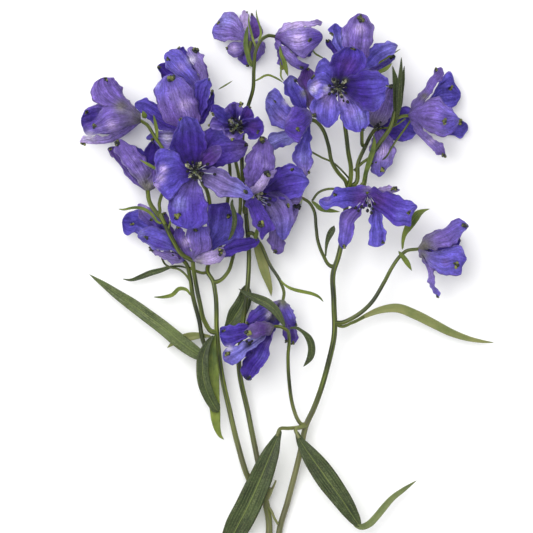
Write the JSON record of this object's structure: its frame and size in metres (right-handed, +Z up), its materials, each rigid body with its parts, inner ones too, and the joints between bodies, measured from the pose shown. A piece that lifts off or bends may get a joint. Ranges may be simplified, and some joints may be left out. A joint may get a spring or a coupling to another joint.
{
  "type": "delphinium flower spray",
  "caption": "Cut spray of branching delphinium with spurless blue-violet florets, narrow leaves and thin olive stems, lying on its side",
  "frame": {"origin": "On the table under the middle of the spray's bounding box", "axes": "+Y runs from the cut end of the stalk to the top of the spray, +Z is up from the table it lies on, +X is to the right seen from above"},
  "size_m": [0.2061, 0.3132, 0.0483],
  "materials": {
    "floret": "soft satin petal tissue, blue-violet inside and mauve outside",
    "gland": "knobby green-black gland with yellow-green lumps near a sepal's tip",
    "stamen": "pale filaments with black anthers",
    "stem": "satin olive-green stem",
    "leaf": "matte grey-green leaf with paler veins"
  },
  "bodies": {
    "root": {"floret_01": "floret", "floret_02": "floret", "floret_03": "floret", "floret_04": "floret", "floret_05": "floret", "floret_06": "floret", "floret_07": "floret", "floret_08": "floret", "floret_09": "floret", "floret_10": "floret", "floret_11": "floret", "floret_12": "floret", "floret_13": "floret", "floret_14": "floret", "floret_15": "floret", "floret_16": "floret", "floret_17": "floret", "floret_18": "floret", "floret_19": "floret", "floret_20": "floret", "floret_21": "floret", "cut_stalk": "stem", "stem_left": "stem", "stem_middle": "stem", "stem_right": "stem", "stem_far_left": "stem", "stem_shade": "stem", "bud_stem": "stem", "pedicel_01": "stem", "pedicel_02": "stem", "pedicel_04": "stem", "pedicel_05": "stem", "pedicel_06": "stem", "pedicel_07": "stem", "pedicel_08": "stem", "pedicel_09": "stem", "pedicel_10": "stem", "pedicel_13": "stem", "pedicel_14": "stem", "pedicel_16": "stem", "pedicel_17": "stem", "pedicel_18": "stem", "pedicel_21": "stem", "leaf_left_long": "leaf", "leaf_left_narrow": "leaf", "leaf_hanging": "leaf", "leaf_behind_left": "leaf", "leaf_over_floret": "leaf", "leaf_middle_right": "leaf", "leaf_middle_left": "leaf", "leaf_right_narrow": "leaf", "leaf_over_lower": "leaf", "leaf_right_arc": "leaf", "leaf_right_long": "leaf", "leaf_bottom_left": "leaf", "leaf_bottom_right": "leaf", "leaf_upper_right": "leaf", "bud": "leaf", "bract_right": "leaf"}
  },
  "joints": []
}
